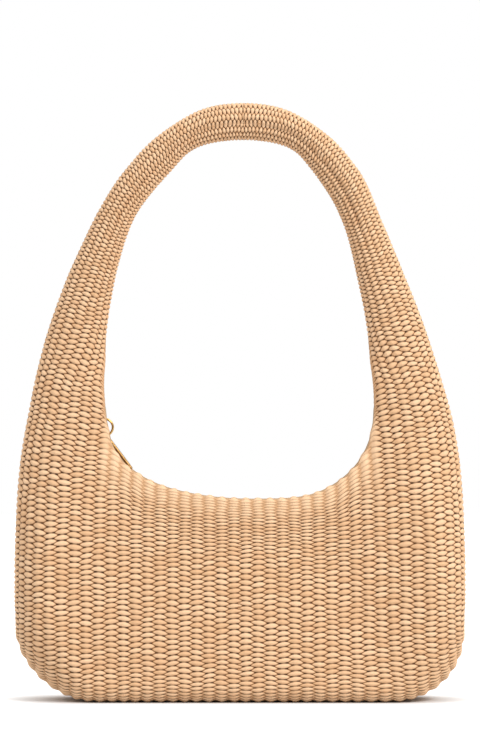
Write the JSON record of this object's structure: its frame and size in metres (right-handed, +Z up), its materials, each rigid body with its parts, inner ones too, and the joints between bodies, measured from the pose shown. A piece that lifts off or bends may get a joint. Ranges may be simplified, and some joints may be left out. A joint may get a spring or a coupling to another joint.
{
  "type": "hobo bag",
  "caption": "Small woven straw hobo shoulder bag with a flat base, a curved zipped mouth and one padded tube strap.",
  "frame": {"origin": "centre of the base's lower face", "axes": "+X along the width to the right seen from the front, the front faces -Y, +Z up to the strap's crown"},
  "size_m": [0.3078, 0.075, 0.4071],
  "materials": {
    "straw": "woven natural straw",
    "facing": "woven cotton facing",
    "lining": "plain cotton twill",
    "board": "matte stiffener board",
    "padding": "felted padding",
    "tape": "woven zip tape",
    "metal": "polished pale gold plate"
  },
  "bodies": {
    "root": {"front_panel": "straw", "back_panel": "straw", "lining_front": "lining", "lining_back": "lining", "rim_facing_front": "facing", "rim_facing_back": "facing", "slip_pocket": "lining", "base_board": "board", "zip_tape_front": "tape", "zip_tape_back": "tape", "zip_teeth_front": "metal", "zip_teeth_back": "metal", "zip_top_stop_front": "metal", "zip_top_stop_back": "metal", "zip_bottom_stop": "metal", "zip_end_tab_left": "tape", "zip_end_tab_right": "tape", "horn_padding_left": "padding", "horn_padding_right": "padding"},
    "slider": {"slider_body": "metal", "slider_bridge": "metal"},
    "ring": {"pull_ring": "metal"},
    "pull": {"pull_tab": "metal"},
    "strap": {"strap_cover_left": "straw", "strap_cover_right": "straw", "strap_core": "padding", "strap_top_seam": "straw"}
  },
  "joints": [
    {"name": "zip_slide", "type": "hinge", "parent": "root", "child": "slider", "pos_m": [0, 0, 0.2421], "axis": [0, -1, 0], "range_deg": [0, 95], "deforming": ["zip_tape_front", "zip_tape_back", "zip_teeth_front", "zip_teeth_back"]},
    {"name": "ring_tilt", "type": "hinge", "parent": "slider", "child": "ring", "pos_m": [-0.09771, 0, 0.18222], "axis": [0.5225, 0, -0.8526], "range_deg": [-8, 8]},
    {"name": "pull_swing", "type": "hinge", "parent": "ring", "child": "pull", "pos_m": [-0.09277, 0, 0.18525], "axis": [0, -1, 0], "range_deg": [0, 120]},
    {"name": "strap_flop", "type": "hinge", "parent": "root", "child": "strap", "pos_m": [0, 0, 0.215], "axis": [1, 0, 0], "range_deg": [-90, 90]}
  ]
}
